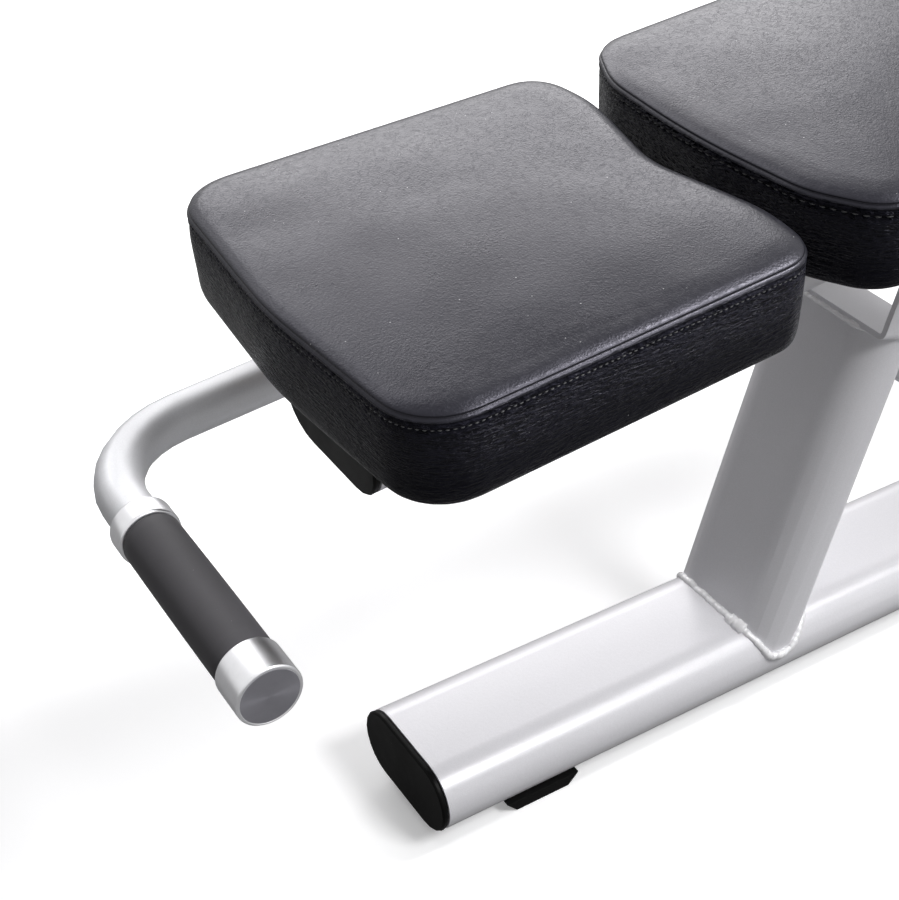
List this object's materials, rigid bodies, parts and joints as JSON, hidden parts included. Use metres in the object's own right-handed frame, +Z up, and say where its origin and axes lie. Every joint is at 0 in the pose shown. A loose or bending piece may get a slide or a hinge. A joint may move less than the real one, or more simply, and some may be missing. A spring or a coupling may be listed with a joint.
{
  "type": "abdominal bench",
  "caption": "Adjustable abdominal bench: padded board on a tilting spine over one post, with an L-shaped side handle, foam leg rollers and a rear cross foot with wheels.",
  "frame": {"origin": "on the floor, under the middle of the whole bench's bounding box at rest", "axes": "+Z up; the bench's length runs along Y, with the handle at the -Y end and the leg rollers at the +Y end; +X is the side of the star knob"},
  "size_m": [0.5306, 1.4682, 0.6601],
  "materials": {
    "silver_paint": "satin silver powder coat on steel tube and plate",
    "plated_steel": "zinc plated steel",
    "turned_aluminium": "turned and polished",
    "black_leatherette": "fine creased grain, semi-gloss",
    "black_rubber": "smooth matt rubber",
    "black_plastic": "moulded, glossy",
    "nylon": "natural nylon",
    "plywood": "raw plywood"
  },
  "bodies": {
    "base": {"base_beam": "silver_paint", "base_front_cap": "black_plastic", "front_foot": "black_rubber", "rear_cross_tube": "silver_paint", "rear_cap_left": "black_plastic", "rear_cap_right": "black_plastic", "rear_foot_left": "black_rubber", "rear_foot_right": "black_rubber", "wheel_fork_left": "silver_paint", "wheel_fork_right": "silver_paint", "wheel_axle_left": "plated_steel", "wheel_axle_right": "plated_steel", "post": "silver_paint", "post_clevis": "silver_paint", "pivot_pin": "plated_steel", "pivot_nut": "plated_steel", "clamp_bracket": "silver_paint", "clamp_stud": "plated_steel", "clamp_washer": "plated_steel"},
    "tilting_frame": {"ankle_axle": "turned_aluminium", "ankle_axle_cap": "turned_aluminium", "column_cap_bottom": "black_plastic", "column_cap_top": "black_plastic", "front_board": "plywood", "front_cushion": "black_leatherette", "front_pad_bar_1": "silver_paint", "front_pad_bar_2": "silver_paint", "front_pad_bolt_1_left": "plated_steel", "front_pad_bolt_1_right": "plated_steel", "front_pad_bolt_2_left": "plated_steel", "front_pad_bolt_2_right": "plated_steel", "grip_collar": "turned_aluminium", "grip_rubber": "black_rubber", "handle_end_cap": "turned_aluminium", "handle_tube": "silver_paint", "knee_axle": "turned_aluminium", "knee_axle_cap": "turned_aluminium", "leg_column": "silver_paint", "pivot_bush_left": "nylon", "pivot_bush_right": "nylon", "rear_board": "plywood", "rear_cushion": "black_leatherette", "rear_pad_bar_1": "silver_paint", "rear_pad_bar_2": "silver_paint", "rear_pad_bolt_1_left": "plated_steel", "rear_pad_bolt_1_right": "plated_steel", "rear_pad_bolt_2_left": "plated_steel", "rear_pad_bolt_2_right": "plated_steel", "spine": "silver_paint", "spine_end_plate": "silver_paint", "spine_front_cap": "black_plastic", "tilt_sector": "plated_steel"},
    "knob": {"clamp_knob": "black_plastic"},
    "left_wheel": {"wheel_left": "black_rubber"},
    "right_wheel": {"wheel_right": "black_rubber"},
    "left_knee_roller": {"knee_roller_left": "black_leatherette"},
    "right_knee_roller": {"knee_roller_right": "black_leatherette"},
    "left_ankle_roller": {"ankle_roller_left": "black_leatherette"},
    "right_ankle_roller": {"ankle_roller_right": "black_leatherette"}
  },
  "joints": [
    {"name": "tilt", "type": "hinge", "parent": "base", "child": "tilting_frame", "pos_m": [0, -0.15784, 0.40289], "axis": [1, 0, 0], "range_deg": [0, 18]},
    {"name": "knob_turn", "type": "hinge", "parent": "base", "child": "knob", "pos_m": [0, -0.05613, 0.26792], "axis": [1, 0, 0], "range_deg": [0, 360]},
    {"name": "left_wheel_roll", "type": "hinge", "parent": "base", "child": "left_wheel", "pos_m": [-0.185, 0.651, 0.045], "axis": [1, 0, 0], "continuous": true},
    {"name": "right_wheel_roll", "type": "hinge", "parent": "base", "child": "right_wheel", "pos_m": [0.185, 0.651, 0.045], "axis": [1, 0, 0], "continuous": true},
    {"name": "left_knee_roller_spin", "type": "hinge", "parent": "tilting_frame", "child": "left_knee_roller", "pos_m": [-0.131, 0.53747, 0.60521], "axis": [1, 0, 0], "continuous": true},
    {"name": "right_knee_roller_spin", "type": "hinge", "parent": "tilting_frame", "child": "right_knee_roller", "pos_m": [0.131, 0.53747, 0.60521], "axis": [1, 0, 0], "continuous": true},
    {"name": "left_ankle_roller_spin", "type": "hinge", "parent": "tilting_frame", "child": "left_ankle_roller", "pos_m": [-0.131, 0.6792, 0.25263], "axis": [1, 0, 0], "continuous": true},
    {"name": "right_ankle_roller_spin", "type": "hinge", "parent": "tilting_frame", "child": "right_ankle_roller", "pos_m": [0.131, 0.6792, 0.25263], "axis": [1, 0, 0], "continuous": true}
  ]
}
